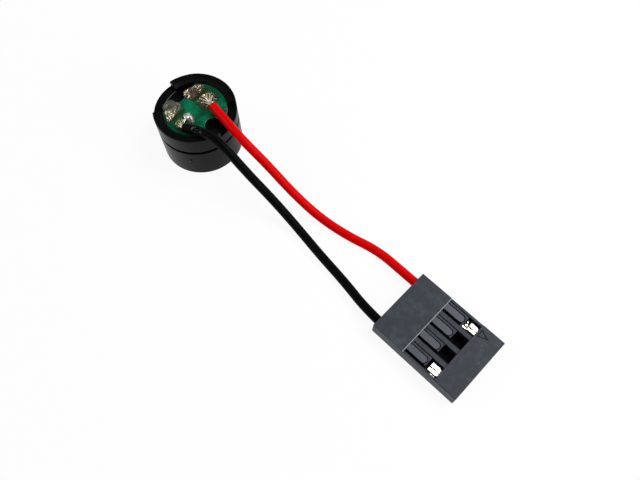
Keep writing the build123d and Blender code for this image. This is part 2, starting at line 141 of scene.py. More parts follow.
class Graph:
    """The node tree of one material, with its Principled shader."""

    def __init__(self, name: str) -> None:
        """Make an empty material with one Principled shader.

        Args:
            name: the material's name.
        """
        self.material = bpy.data.materials.new(name)
        self.material.use_nodes = True
        self.tree = self.material.node_tree
        self.tree.nodes.clear()
        self.output = self.tree.nodes.new("ShaderNodeOutputMaterial")
        self.shader = self.tree.nodes.new("ShaderNodeBsdfPrincipled")
        self.tree.links.new(self.shader.outputs[0], self.output.inputs["Surface"])
        self.place = self.node("ShaderNodeTexCoord", {}).outputs["Object"]

    def node(self, kind: str, settings: dict, *values: object, **named: object) -> bpy.types.Node:
        """Add a node, set its properties, then fill its sockets.

        Args:
            kind: the node's type.
            settings: properties set before the sockets.
            *values: links or plain values for the sockets, in order; None leaves one alone.
            **named: links or plain values by socket name, with _ for a space.

        Returns:
            The new node.
        """
        made = self.tree.nodes.new(kind)
        for key, value in settings.items():
            setattr(made, key, value)
        pairs = list(zip(made.inputs, values))
        pairs += [(made.inputs[key.replace("_", " ")], value) for key, value in named.items()]
        for socket, value in pairs:
            self.feed(socket, value)
        return made

    def feed(self, socket: bpy.types.NodeSocket, value: object) -> None:
        """Link or set one input socket.

        Args:
            socket: the input.
            value: a Value, an output socket, a plain value, or None to leave it alone.
        """
        if isinstance(value, Value):
            self.tree.links.new(value.socket, socket)
        elif isinstance(value, bpy.types.NodeSocket):
            self.tree.links.new(value, socket)
        elif value is not None:
            socket.default_value = value

    def value(self, kind: str, settings: dict, *values: object) -> Value:
        """First output of a new node, wrapped for expressions."""
        return Value(self, self.node(kind, settings, *values).outputs[0])

    def axes(self, origin: Point = (0.0, 0.0, 0.0)) -> list[Value]:
        """Object coordinates in millimetres from an origin.

        Args:
            origin: the new origin, in millimetres.

        Returns:
            The three coordinates.
        """
        moved = self.node("ShaderNodeVectorMath", {"operation": "MULTIPLY_ADD"}, self.place,
                          (1 / MM,) * 3, tuple(-x for x in origin))
        split = self.node("ShaderNodeSeparateXYZ", {}, moved.outputs[0])
        return [Value(self, socket) for socket in split.outputs]

    def noise(self, scale: float, detail: float = 2.0, stretch: Point = WHITE,
              roughness: float = 0.5) -> Value:
        """Noise on Object coordinates.

        Args:
            scale: waves per millimetre.
            detail: number of finer layers.
            stretch: factor on each axis.
            roughness: weight of the finer layers.

        Returns:
            The noise, from 0 to 1.
        """
        per_axis = tuple(scale * s / MM for s in stretch)
        scaled = self.node("ShaderNodeVectorMath", {"operation": "MULTIPLY"}, self.place, per_axis)
        made = self.node("ShaderNodeTexNoise", {}, Vector=scaled.outputs[0], Scale=1.0,
                         Detail=detail, Roughness=roughness)
        return Value(self, made.outputs["Fac"])

    def specks(self, scale: float, radius: float) -> Value:
        """Small round specks, 1 at their centre and 0 past their radius.

        Args:
            scale: cells per millimetre.
            radius: speck radius in cells.

        Returns:
            The speck mask.
        """
        scaled = self.node("ShaderNodeVectorMath", {"operation": "MULTIPLY"}, self.place,
                           (scale / MM,) * 3)
        made = self.node("ShaderNodeTexVoronoi", {}, Vector=scaled.outputs[0], Scale=1.0)
        return Value(self, made.outputs["Distance"]).step(radius, 0.0)

    def mix(self, amount: Value | float, first: object, second: object) -> object:
        """Colour between two colours.

        Args:
            amount: 0 for the first, 1 for the second.
            first: a colour or a colour socket.
            second: a colour or a colour socket.

        Returns:
            The colour socket.
        """
        made = self.tree.nodes.new("ShaderNodeMix")
        made.data_type = "RGBA"
        self.feed(made.inputs[0], amount)
        for socket, colour in ((made.inputs[6], first), (made.inputs[7], second)):
            self.feed(socket, (*colour, 1.0) if isinstance(colour, tuple) else colour)
        return made.outputs[2]

    def bump(self, height: Value, distance: float) -> None:
        """Add relief over the whole shader.

        Args:
            height: relief from 0 to 1.
            distance: full height in millimetres.
        """
        made = self.node("ShaderNodeBump", {}, Strength=1.0, Distance=distance * MM,
                         Height=height)
        self.tree.links.new(made.outputs[0], self.shader.inputs["Normal"])

    def set(self, **sockets: object) -> None:
        """Set or link sockets of the Principled shader, with _ for a space."""
        for name, value in sockets.items():
            if isinstance(value, tuple) and len(value) == 3 and "Color" in name:
                value = (*value, 1.0)
            self.feed(self.shader.inputs[name.replace("_", " ")], value)


def across_way(y: Value) -> Value:
    """Place across the nearest way of the socket, 0 on its middle line.

    Args:
        y: the Y coordinate, in millimetres.

    Returns:
        The place, from minus to plus half the pitch.
    """
    return (y - (FIRST_WAY - PITCH / 2)).wrap(PITCH) - PITCH / 2


# -------------------------------------------------------------------- finishes


@dataclass(frozen=True)
class MouldedPlastic:
    """Moulded plastic with a fine grain, soft mottling and faint scuffs."""

    name: str
    colour: Colour
    roughness: float = 0.38
    grain: float = 0.004
    mottle: float = 0.25
    scuffs: float = 0.0
    gloss: float = 0.25

    def surface(self, graph: Graph) -> tuple[object, Value]:
        """Colour and roughness of the plain plastic.

        Args:
            graph: the material's graph.

        Returns:
            The colour socket and the roughness.
        """
        cloud = graph.noise(0.45, 3.0)
        patch = graph.noise(1.1, 4.0, roughness=0.62)
        fine = graph.noise(14.0, 2.0)
        pale = tuple(min(1.0, c * 1.9 + 0.004) for c in self.colour)
        base = graph.mix((cloud + patch).step(0.85, 1.35) * self.mottle, self.colour, pale)
        streak = graph.noise(1.3, 4.0, (0.35, 3.2, 1.0), 0.7).step(0.62, 0.74) * self.scuffs
        base = graph.mix(streak, base, tuple(c * 2.2 + 0.01 for c in self.colour))
        graph.bump(fine + graph.noise(3.0, 3.0) * 0.8, self.grain)
        return base, cloud * 0.12 + fine * 0.1 + (self.roughness - 0.11)

    def build(self) -> bpy.types.Material:
        """Make the material."""
        graph = Graph(self.name)
        base, roughness = self.surface(graph)
        graph.set(Base_Color=base, Roughness=roughness, Specular_IOR_Level=self.gloss)
        return graph.material


@dataclass(frozen=True)
class HousingPlastic(MouldedPlastic):
    """Grey housing plastic with smoother latch pads, pale dust, painted shade in the chambers, slots and
    pin mark, and a painted highlight on the window's rear edge.
    """

    violet: Colour = (0.034, 0.035, 0.052)
    pad: Colour = (0.066, 0.08, 0.1)
    # pale colour of the painted highlight on the window's rear edge
    edge: Colour = (0.5, 0.53, 0.56)
    dust: Colour = (0.3, 0.31, 0.32)
    # near-black colour of the painted shade
    dark: Colour = (0.002, 0.002, 0.002)
    pad_roughness: float = 0.34
    window_x: float = 44.4
    opening_x: float = 47.7
    pad_end_x: float = 46.98
    pad_y: float = -0.06
    pad_half: float = 0.47
    deck: float = 2.34
    top: float = 2.54
    chamber_half: float = 1.05
    chamber_x: tuple[float, float] = (39.3, 52.6)
    chamber_z: tuple[float, float] = (0.2, 2.1)
    mark_x: tuple[float, float] = (49.8, 51.8)
    mark_z: tuple[float, float] = (2.4, 2.5)

    def pads(self, x: Value, way: Value, z: Value) -> Value:
        """Mask of the latch pads: near the line down each tongue, on the window's deck."""
        past_end = (x - self.pad_end_x).most(0.0)
        across = way - self.pad_y
        reach = (past_end * past_end + across * across) ** 0.5
        deck = z.band((self.deck - 0.02, self.deck - 0.01), (self.deck + 0.01, self.deck + 0.02))
        inside = x.step(self.window_x - 0.04, self.window_x)
        return reach.step(self.pad_half + 0.01, self.pad_half - 0.03) * deck * inside

    def edge_highlight_mask(self, x: Value, z: Value) -> Value:
        """Mask of the painted highlight on the edge where the rear block steps down to the window."""
        near = x.band((self.window_x - 0.12, self.window_x - 0.08),
                      (self.window_x, self.window_x + 0.02))
        return near * z.band((self.deck + 0.02, self.deck + 0.04), (self.top + 0.005, self.top + 0.02))

    def shade(self, x: Value, way: Value, z: Value) -> Value:
        """Mask of the painted shade: in the chambers, in the slots beside the tongues and, weaker, in
        the pin mark's groove.
        """
        across = way.size().step(self.chamber_half, self.chamber_half - 0.08)
        start, end = self.chamber_x
        low, high = self.chamber_z
        chamber = across * z.band((low, low + 0.1), (high - 0.25, high))
        chamber = chamber * x.band((start, start + 0.9), (end - 0.3, end))
        start, end = self.mark_x
        low, high = self.mark_z
        mark = z.band((low, low + 0.02), (high - 0.02, high)) * 0.7
        mark = mark * x.band((start, start + 0.05), (end - 0.1, end))
        low = self.chamber_z[1]
        slot = across * z.band((low, low + 0.1), (self.deck - 0.05, self.deck - 0.01))
        slot = slot * x.band((self.window_x, self.window_x + 0.05),
                             (self.opening_x, self.opening_x + 0.1))
        return chamber.most(mark).most(slot)

    def build(self) -> bpy.types.Material:
        """Make the material."""
        graph = Graph(self.name)
        base, roughness = self.surface(graph)
        x, y, z = graph.axes()
        way = across_way(y)
        pads = self.pads(x, way, z)
        shade = self.shade(x, way, z)
        base = graph.mix(graph.noise(0.33, 4.0).step(0.5, 0.64) * 0.6, base, self.violet)
        base = graph.mix(pads * 0.8, base, self.pad)
        speck = graph.specks(1.5, 0.1) * graph.noise(0.7, 1.0).step(0.54, 0.6)
        base = graph.mix(speck * (1 - pads), base, self.dust)
        # painted highlight along the window's rear edge, where its rounded edge catches the light
        base = graph.mix(self.edge_highlight_mask(x, z) * 0.6, base, self.edge)
        # painted shade: the chambers, the slots and the pin mark's groove go near black
        base = graph.mix(shade * 0.92, base, self.dark)
        roughness = roughness - pads * (self.roughness - self.pad_roughness) + shade * 0.4
        graph.set(Base_Color=base, Roughness=roughness, Specular_IOR_Level=self.gloss)
        return graph.material


@dataclass(frozen=True)
class WireSleeve:
    """Extruded plastic sleeve with faint draw lines and flecks of painted highlight."""

    name: str
    colour: Colour
    glint_colour: Colour
    roughness: float = 0.34
    glints: float = 0.5
    gloss: float = 0.15
    dust: float = 0.0
    dust_colour: Colour = (0.5, 0.5, 0.47)
    dust_x: tuple[float, float] = (2.7, 4.9)
    dust_y: float = -2.3

    def build(self) -> bpy.types.Material:
        """Make the material."""
        graph = Graph(self.name)
        x, y, _ = graph.axes()
        cloud = graph.noise(0.5, 3.0)
        # painted highlight: lighter flecks stand in for small glints on the sleeve
        glint = graph.noise(3.4, 4.0, (0.55, 1.6, 1.6), 0.65).step(0.64, 0.74) * self.glints
        base = graph.mix(cloud.step(0.35, 0.8) * 0.35, self.colour,
                         tuple(c * 0.72 for c in self.colour))
        base = graph.mix(glint, base, self.glint_colour)
        dust = graph.noise(3.2, 2.0, roughness=0.7).step(0.6, 0.67) * self.dust
        start, end = self.dust_x
        dust = dust * x.band((start, start + 0.6), (end - 0.4, end))
        dust = dust * y.step(self.dust_y, self.dust_y - 0.3)
        base = graph.mix(dust, base, self.dust_colour)
        graph.set(Base_Color=base, Roughness=cloud * 0.16 + glint * 0.2 + (self.roughness - 0.08),
                  Specular_IOR_Level=self.gloss)
        graph.bump(graph.noise(5.0, 3.0, (0.25, 1.0, 1.0)) + glint * 0.5, 0.01)
        return graph.material


@dataclass(frozen=True)
class SolderMask:
    """Green mask over a glass-fibre board, olive over the bared strips and pale where cut, with painted
    light: brighter in the middle and on a sheen patch, shaded darker towards the edges, and painted
    shade down the board's side.
    """

    name: str = "board_green_mask"
    green: Colour = (0.0, 0.18, 0.078)
    # darker green: painted shade towards the board's edges, and also the dark side of the mottling
    shaded_green: Colour = (0.0, 0.062, 0.028)
    olive: Colour = (0.02, 0.032, 0.002)
    cut: Colour = (0.4, 0.6, 0.5)
    # near-black colour of the painted shade down the board's side
    side_shade: Colour = (0.004, 0.012, 0.008)
    top: float = 7.75
    red_strip: Point = (-1.35, 2.3, 1.75)
    black_strip: Point = (-0.95, -2.4, 1.6)
    strip_half: float = 0.36
    # round patches of painted light: a lit middle and a sheen patch beside the red lead's joint
    lit_middle: tuple[float, ...] = (0.6, 0.0, 13.0, 4.0)
    sheen_patch: tuple[float, ...] = (1.9, 3.9, 3.0, 0.4)
    dust: Colour = (0.25, 0.42, 0.35)

    @staticmethod
    def patch(x: Value, y: Value, place: tuple[float, ...]) -> Value:
        """Mask of a round patch of painted light, where the green is brighter.

        Args:
            x: the X coordinate, in millimetres.
            y: the Y coordinate, in millimetres.
            place: its middle in X and Y, and the squared radii where it is 0 and where 1.

        Returns:
            1 in the patch.
        """
        from_x, from_y = x - place[0], y - place[1]
        return (from_x * from_x + from_y * from_y).step(place[2], place[3])

    def strip(self, graph: Graph, place: Point) -> Value:
        """Mask of the strip between the two joints on one side.

        Args:
            graph: the material's graph.
            place: the strip's middle in X and Y, and half its length, in millimetres.

        Returns:
            1 on the strip.
        """
        x, y, _ = graph.axes(origin=(place[0], place[1], 0.0))
        wave = graph.noise(1.2, 2.0) * 0.4 - 0.2
        across = (x + wave).size().step(self.strip_half, self.strip_half - 0.14)
        return across * (y + wave).size().step(place[2], place[2] - 0.2)

    def build(self) -> bpy.types.Material:
        """Make the material."""
        graph = Graph(self.name)
        x, y, z = graph.axes()
        cloud = graph.noise(0.6, 4.0)
        # painted light: the green is brighter in the lit middle and the sheen patch, and falls to the
        # shaded green elsewhere
        bright = self.patch(x, y, self.lit_middle).most(self.patch(x, y, self.sheen_patch))
        base = graph.mix(cloud.step(0.3, 0.65) * (bright * 0.8 + 0.2), self.shaded_green, self.green)
        for place in (self.red_strip, self.black_strip):
            base = graph.mix(self.strip(graph, place) * 0.92, base, self.olive)
        speck = graph.specks(2.4, 0.1) * graph.noise(1.1, 1.0).step(0.5, 0.6)
        base = graph.mix(speck * 0.5, base, self.dust)
        base = graph.mix(z.step(self.top - 0.02, self.top - 0.05), base, self.cut)
        # painted shade: below the pale cut edge the board's side goes near black
        base = graph.mix(z.step(self.top - 0.14, self.top - 0.22), base, self.side_shade)
        graph.set(Base_Color=base, Roughness=cloud * 0.2 + 0.22, Specular_IOR_Level=0.2)
        graph.bump(graph.noise(2.2, 3.0) + graph.noise(9.0, 2.0) * 0.2, 0.03)
        return graph.material


@dataclass(frozen=True)
class SoftSolder:
    """Soft solder: bright metal with burnt flux in its hollows and stains over it."""

    name: str
    bright: Colour
    stain: Colour
    burnt: Colour = (0.02, 0.012, 0.005)
    stained: float = 0.5
    pitted: float = 0.6
    roughness: float = 0.17

    def build(self) -> bpy.types.Material:
        """Make the material."""
        graph = Graph(self.name)
        patch = graph.noise(0.7, 3.0, roughness=0.6).step(0.46, 0.56) * self.stained
        pit = graph.noise(1.5, 3.0, (1.3, 0.8, 1.0), 0.6).step(0.47, 0.55) * self.pitted
        fine = graph.noise(3.0, 2.0)
        base = graph.mix(patch, self.bright, self.stain)
        base = graph.mix(pit, base, self.burnt)
        graph.set(Base_Color=base, Metallic=1.0 - patch * 0.5 - pit * 0.5,
                  Roughness=patch * 0.25 + pit * 0.15 + fine * 0.1 + (self.roughness - 0.05))
        graph.bump(graph.noise(1.2, 3.0, roughness=0.6) - pit * 0.5 + fine * 0.2, 0.1)
        return graph.material


@dataclass(frozen=True)
class PlainMetal:
    """Metal with fine rolling lines and slight tarnish."""

    name: str
    colour: Colour
    tarnish: Colour
    roughness: float = 0.25
    metallic: float = 1.0
    # near-black colour of the painted shade
    shade_colour: Colour = (0.01, 0.009, 0.006)

    def shade(self, graph: Graph) -> Value | float:
        """How much painted shade blackens the metal; none on plain metal."""
        return 0.0

    def build(self) -> bpy.types.Material:
        """Make the material."""
        graph = Graph(self.name)
        cloud = graph.noise(0.9, 4.0).step(0.4, 0.75)
        lines = graph.noise(6.0, 2.0, (0.15, 2.5, 1.0))
        base = graph.mix(cloud * 0.5, self.colour, self.tarnish)
        # painted shade: the shade mask mixes the metal towards near black
        base = graph.mix(self.shade(graph), base, self.shade_colour)
        graph.set(Base_Color=base, Metallic=self.metallic,
                  Roughness=cloud * 0.15 + lines * 0.1 + self.roughness)
        graph.bump(lines + graph.noise(1.6, 2.0) * 2.0, 0.02)
        return graph.material


@dataclass(frozen=True)
class TerminalTin(PlainMetal):
    """Tin on the terminals, with painted shade: black inside the box, along its seam, on the neck and at
    the edges of the roof.
    """

    roof: float = 1.91
    neck_x: float = 44.0
    box_x: float = 47.8
    box_half: float = 0.76
    seam_y: float = -0.06
    seam_end_x: float = 49.15
    shaded_until_x: float = 47.8
    low_way: float = -0.62
    high_way: float = 0.7

    def shade(self, graph: Graph) -> Value:
        """1 where shade is painted: inside the box, on its seam, on the neck, on the near part of the
        roof, along its sides and towards its front end.
        """
        x, y, z = graph.axes()
        way = across_way(y)
        wave = graph.noise(2.0, 2.0) * 0.1 - 0.05
        uneven = way + wave
        inside = way.size().step(self.box_half, self.box_half - 0.06)
        inside = inside * z.step(self.roof - 0.1, self.roof - 0.2)
        seam = (uneven - self.seam_y).size().step(0.1, 0.04)
        seam = seam * x.step(self.seam_end_x, self.seam_end_x - 0.1)
        corner = (uneven.size() + (x - self.box_x - 1.2) * 0.5).step(0.72, 0.8)
        edges = uneven.step(self.low_way + 0.03, self.low_way - 0.03)
        edges = edges.most(uneven.step(self.high_way - 0.03, self.high_way + 0.03))
        edges = edges.most(x.step(self.shaded_until_x + 0.03, self.shaded_until_x - 0.03))
        # painted shade inside the box, in the seam's slit, on the neck, under the front block and beside
        # the lances
        shade = inside.most(seam).most(corner).most(edges)
        return shade * x.step(self.neck_x, self.neck_x + 0.3)


@dataclass(frozen=True)
class FluxResin:
    """Clear flux resin left round a joint, slightly clouded."""

    name: str
    tint: Colour
    cover: float = 0.35
    roughness: float = 0.12

    def build(self) -> bpy.types.Material:
        """Make the material."""
        graph = Graph(self.name)
        cloud = graph.noise(1.8, 3.0)
        graph.set(Base_Color=self.tint, Roughness=cloud * 0.2 + self.roughness,
                  Alpha=cloud.step(0.3, 0.7) * 0.35 + self.cover)
        graph.bump(graph.noise(1.6, 3.0), 0.08)
        return graph.material


class Finish(Enum):
    """The finishes of the buzzer, one for each kind of surface."""

    CASE = MouldedPlastic("case_black_plastic", (0.0022, 0.0028, 0.0024), roughness=0.3,
                          grain=0.003, mottle=0.3, gloss=0.07)
    HOUSING = HousingPlastic("housing_grey_plastic", (0.023, 0.031, 0.04), roughness=0.55,
                             grain=0.006, mottle=0.8, scuffs=0.4, gloss=0.32)
    BOARD = SolderMask()
    RED = WireSleeve("red_sleeve", (0.76, 0.0, 0.001), (0.82, 0.05, 0.04), roughness=0.4,
                     glints=0.4, gloss=0.06)
    BLACK = WireSleeve("black_sleeve", (0.0015, 0.0015, 0.0015), (0.008, 0.008, 0.008),
                       roughness=0.42, gloss=0.04, dust=0.5)
    BROWN_JOINT = SoftSolder("solder_browned", (0.6, 0.5, 0.33), (0.05, 0.032, 0.014),
                             stained=0.97, pitted=0.95)
    GREY_JOINT = SoftSolder("solder_grey", (0.52, 0.49, 0.34), (0.12, 0.105, 0.06),
                            stained=0.85, pitted=0.85)
    PALE_JOINT = SoftSolder("solder_pale", (0.8, 0.77, 0.69), (0.12, 0.1, 0.075),
                            stained=0.8, pitted=0.5, roughness=0.12)
    GOLD_JOINT = SoftSolder("solder_golden", (0.62, 0.57, 0.34), (0.05, 0.045, 0.015),
                            stained=0.95, pitted=0.98)
    GREEN_JOINT = SoftSolder("solder_greenish", (0.2, 0.27, 0.1), (0.015, 0.03, 0.008),
                             stained=0.9, pitted=0.9)
    RED_TIN = TerminalTin("tin_plate_red_way", (0.93, 0.9, 0.82), (0.75, 0.68, 0.52), 0.24,
                          shaded_until_x=48.42, low_way=-0.47, high_way=0.95)
    BLACK_TIN = TerminalTin("tin_plate_black_way", (0.93, 0.9, 0.82), (0.75, 0.68, 0.52), 0.24)
    BRIGHT_TIN = PlainMetal("tin_plate_lances", (0.93, 0.9, 0.82), (0.75, 0.68, 0.52), 0.24)
    STRANDS = PlainMetal("tinned_strands", (0.8, 0.74, 0.58), (0.36, 0.27, 0.13), roughness=0.16)
    WINDING = PlainMetal("enamelled_copper", (0.5, 0.2, 0.07), (0.3, 0.1, 0.03), roughness=0.25)
    STEEL = PlainMetal("plated_steel", (0.6, 0.6, 0.6), (0.42, 0.42, 0.4), roughness=0.3)
    FERRITE = PlainMetal("ferrite", (0.05, 0.05, 0.055), (0.03, 0.03, 0.03), 0.5, 0.1)
    GREY_FLUX = FluxResin("flux_grey", (0.11, 0.125, 0.09), cover=0.25, roughness=0.06)
    AMBER_FLUX = FluxResin("flux_amber", (0.05, 0.055, 0.01), cover=0.1)
    # pale grey plastic for the painted highlight line on the pocket's edge
    FLASH = MouldedPlastic("painted_edge_highlight", (0.15, 0.16, 0.15), roughness=0.3)

    def material(self) -> bpy.types.Material:
        """The finish's material, made once."""
        return bpy.data.materials.get(self.value.name) or self.value.build()


# -------------------------------------------------------------------- surfaces


def mesh_piece(name: str, points: np.ndarray, faces: list, finish: Finish,
               slot: str) -> bpy.types.Object:
    """Make a smooth-shaded mesh piece that rides on the object.

    Args:
        name: the piece's name.
        points: vertices in millimetres, one row each.
        faces: vertex indices of each face.
        finish: the piece's finish.
        slot: not used.

    Returns:
        The new object, at the origin.
    """
    mesh = bpy.data.meshes.new(name)
    mesh.from_pydata((np.asarray(points) * MM).tolist(), [], faces)
    mesh.shade_smooth()
    mesh.materials.append(finish.material())
    mesh.update()
    piece = bpy.data.objects.new(name, mesh)
    bpy.context.scene.collection.objects.link(piece)
    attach(piece, "root")
    return piece


def grid_faces(rows: int, columns: int, offset: int = 0) -> list:
    """Quads of a grid that closes on itself along its columns.

    Args:
        rows: number of rows of points.
        columns: number of points round each row.
        offset: index of the first point.

    Returns:
        Faces that point outwards where rows climb and columns turn anticlockwise.
    """
    row = np.arange(rows - 1)[:, None] * columns
    column = np.arange(columns)[None, :]
    after = (column + 1) % columns
    quads = np.stack([row + column, row + after, row + columns + after, row + columns + column],
                     axis=-1)
    return (quads.reshape(-1, 4) + offset).tolist()


def closed_grid(points: np.ndarray) -> tuple[np.ndarray, list]:
    """Close a grid of rings with one point at each end.

    Args:
        points: rings of points, rows by columns by 3, from the bottom up.

    Returns:
        The vertices and the faces of a closed skin.
    """
    rows, columns, _ = points.shape
    ends = np.stack([points[0].mean(0), points[-1].mean(0)])
    skin = np.concatenate([points.reshape(-1, 3), ends])
    faces = grid_faces(rows, columns)
    last = rows * columns
    ring = range(columns)
    faces += [[last, (i + 1) % columns, i] for i in ring]
    top = (rows - 1) * columns
    faces += [[last + 1, top + i, top + (i + 1) % columns] for i in ring]
    return skin, faces


def merged(parts: list[tuple[np.ndarray, list]]) -> tuple[np.ndarray, list]:
    """Vertices and faces of several closed skins as one.

    Args:
        parts: the vertices and the faces of each skin.

    Returns:
        All vertices and all faces.
    """
    starts = np.cumsum([0] + [len(points) for points, _ in parts])
    faces = [[corner + int(start) for corner in face]
             for start, (_, own) in zip(starts, parts) for face in own]
    return np.concatenate([points for points, _ in parts]), faces


def closed_curve(corners: list[tuple[float, float]], count: int) -> np.ndarray:
    """Smooth closed curve through corners: a Catmull-Rom spline with even steps.

    Args:
        corners: points of the outline, anticlockwise.
        count: number of points on the curve.

    Returns:
        The curve's points, count by 2.
    """
    known = np.array(corners, float)
    step = np.linspace(0, len(known), count, endpoint=False)
    whole = step.astype(int)
    part = (step - whole)[:, None]
    a, b, c, d = (known[(whole + k) % len(known)] for k in (-1, 0, 1, 2))
    return 0.5 * (2 * b + (c - a) * part + (2 * a - 5 * b + 4 * c - d) * part ** 2
                  + (3 * b - a - 3 * c + d) * part ** 3)


def ripples(x: np.ndarray, y: np.ndarray, length: float, seed: int) -> np.ndarray:
    """Uneven relief: a sum of cosine waves in random directions, longer ones stronger.

    Args:
        x: places in X, in millimetres.
        y: places in Y, in millimetres.
        length: longest wave, in millimetres.
        seed: start of the random numbers.

    Returns:
        The relief at each place, mostly from -1 to 1.
    """
    random = np.random.default_rng(seed)
    total = np.zeros_like(x)
    for share in (1.0, 0.8, 0.62, 0.48, 0.36, 0.27):
        angle, phase = random.uniform(0, 2 * np.pi, 2)
        wave = (x * np.cos(angle) + y * np.sin(angle)) * 2 * np.pi / (length * share)
        total += share * np.cos(wave + phase)
    return total / 1.8


def tube_rings(path: np.ndarray, radius: np.ndarray | float, sides: int) -> np.ndarray:
    """Rings of a round tube along a path.

    Each ring lies square to the path's direction, on two axes carried along it, so that
    the tube does not twist: p + r (cos a u + sin a v).

    Args:
        path: points along the middle line, in millimetres.
        radius: one radius, or one for each point.
        sides: points round the tube.

    Returns:
        The rings, points by sides by 3.
    """
    along = np.gradient(path, axis=0)
    along /= np.linalg.norm(along, axis=1, keepdims=True)
    up = np.array([0.0, 0.0, 1.0]) if abs(along[0, 2]) < 0.9 else np.array([1.0, 0.0, 0.0])
    across = np.cross(along, up)
    across /= np.linalg.norm(across, axis=1, keepdims=True)
    over = np.cross(across, along)
    angle = np.linspace(0, 2 * np.pi, sides, endpoint=False)
    cos, sin = np.cos(angle)[None, :, None], np.sin(angle)[None, :, None]
    turned = cos * across[:, None] - sin * over[:, None]
    width = np.broadcast_to(np.asarray(radius, float).reshape(-1, 1, 1), (len(path), 1, 1))
    return path[:, None] + width * turned


# ------------------------------------------------------------------ the pieces


@dataclass
class Lead:
    """One insulated lead: its sleeve as a cord, and what is on its far end."""

    colour: str
    route: list[Point]
    length: float
    finish: Finish
    with_nodes: list[str]
    diameter: float = 1.3

    def sleeve(self) -> bpy.types.Object:
        """Smooth cord on the route's points, replacing the plain CAD solids."""
        curve = bpy.data.curves.new(self.colour + "_lead", "CURVE")
        curve.dimensions = "3D"
        spline = curve.splines.new("NURBS")
        spline.points.add(len(self.route) - 1)
        points = np.c_[np.array(self.route) * MM, np.ones(len(self.route))]
        spline.points.foreach_set("co", points.ravel())
        spline.order_u = 3
        spline.use_endpoint_u = True
        spline.resolution_u = 24
        curve.bevel_depth = self.diameter * MM / 2
        curve.bevel_resolution = 8
        curve.use_fill_caps = True
        curve.materials.append(self.finish.material())
        piece = bpy.data.objects.new(self.colour + "_lead", curve)
        bpy.context.scene.collection.objects.link(piece)
        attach(piece, "root")
        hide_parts(self.colour + "_insulation", self.colour + "_conductor")
        return piece


RED_ROUTE = [
    (1.8, 1.88, 8.5), (4.6, 1.5, 8.67), (8.9, 0.9, 8.62), (13.2, 1.45, 6.1), (17.6, 2.0, 2.75),
    (22.2, 2.55, 0.72), (27.2, 3.2, 0.66), (32.2, 4.6, 0.66), (37.4, 4.41, 1.18),
    (42.2, 4.41, 1.18),
]
BLACK_ROUTE = [
    (1.75, -3.4, 8.45), (4.3, -2.15, 9.2), (8.1, -1.75, 9.1), (12.4, -1.65, 6.7),
    (16.8, -0.95, 3.2), (21.5, -0.85, 0.72), (26.7, -1.6, 0.66), (31.9, -2.15, 0.66),
    (37.4, -3.21, 1.18), (42.2, -3.21, 1.18),
]


@dataclass
class Lump:
    """Irregular mound with a closed skin, such as a solder joint or a blob of flux."""

    name: str
    outline: list[tuple[float, float]]
    height: float
    finish: Finish
    slot: str
    humps: list[tuple[float, float, float, float]] = field(default_factory=list)
    replaced: str = ""
    level: float = 7.8
    sink: float = 0.04
    ripple: float = 0.07
    ripple_length: float = 1.1
    edge_power: float = 3.0
    seed: int = 1
    columns: int = 120
    rows: int = 48

    def relief(self, x: np.ndarray, y: np.ndarray) -> np.ndarray:
        """Height before it falls to the edge: the mound, its ripples, and round humps and pits.

        Each hump adds h exp(-d d / r r), where d is the distance from its middle.
        """
        total = self.height + self.ripple * ripples(x, y, self.ripple_length, self.seed)
        for middle_x, middle_y, radius, height in self.humps:
            squared = (x - middle_x) ** 2 + (y - middle_y) ** 2
            total = total + height * np.exp(-squared / radius ** 2)
        return total

    def place(self, x: np.ndarray, y: np.ndarray, rise: np.ndarray) -> np.ndarray:
        """Points over the board, in millimetres."""
        return np.stack([x, y, self.level + rise], axis=-1)

    def build(self) -> bpy.types.Object:
        """Dome over the outline: the relief times the root of 1 - s^p, s from 1 to the middle."""
        edge = closed_curve(self.outline, self.columns)
        wobble = ripples(edge[:, 0], edge[:, 1], 0.5, self.seed + 7)[:, None]
        middle = edge.mean(0)
        edge = middle + (edge - middle) * (1 + 0.025 * wobble)
        share = np.linspace(1.0, 0.02, self.rows)[:, None]
        x = middle[0] + share * (edge[:, 0] - middle[0])
        y = middle[1] + share * (edge[:, 1] - middle[1])
        rise = np.sqrt(1 - share ** self.edge_power) * self.relief(x, y)
        rings = self.place(x, y, rise)
        foot = self.place(x[:1], y[:1], np.full_like(x[:1], -self.sink))
        piece = mesh_piece(self.name, *closed_grid(np.concatenate([foot, rings])),
                           self.finish, self.slot)
        if self.replaced:
            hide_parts(self.replaced)
        return piece


@dataclass
class WallLump(Lump):
    """Mound on the round wall of the case, laid out in arc length and height."""

    angle: float = 0.0
    wall_r: float = 6.0

    def place(self, x: np.ndarray, y: np.ndarray, rise: np.ndarray) -> np.ndarray:
        """Points on the wall: x runs round it from an angle, y up it and rise out of it."""
        turn = math.radians(self.angle) + x / self.wall_r
        out = self.wall_r + rise
        return np.stack([out * np.cos(turn), out * np.sin(turn), self.level + y], axis=-1)


